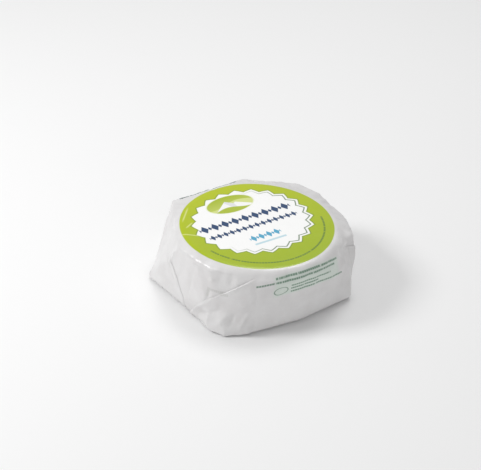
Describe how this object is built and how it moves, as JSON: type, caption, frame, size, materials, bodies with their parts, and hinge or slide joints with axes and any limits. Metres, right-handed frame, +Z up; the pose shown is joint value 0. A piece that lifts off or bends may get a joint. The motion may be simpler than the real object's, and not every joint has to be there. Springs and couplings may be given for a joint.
{
  "type": "wrapped cheese wheel",
  "caption": "Small soft-ripened cheese wheel folded into printed white paper, with a flat round top, tapering faceted sides and paper corners that flare at the foot.",
  "frame": {"origin": "on the wheel's axis, at the level of the surface that the wrapped wheel rests on", "axes": "+Z up along the wheel's axis, +X along the reading direction of the print on the top, so that the foot of the print faces -Y"},
  "size_m": [0.1098, 0.1021, 0.039],
  "materials": {
    "cheese_rind": null,
    "wrapper_paper": "thin white coated paper with a slight sheen, printed in green and dark blue, creased where it is folded"
  },
  "bodies": {
    "root": {"cheese": "cheese_rind", "wrapper": "wrapper_paper"}
  },
  "joints": []
}
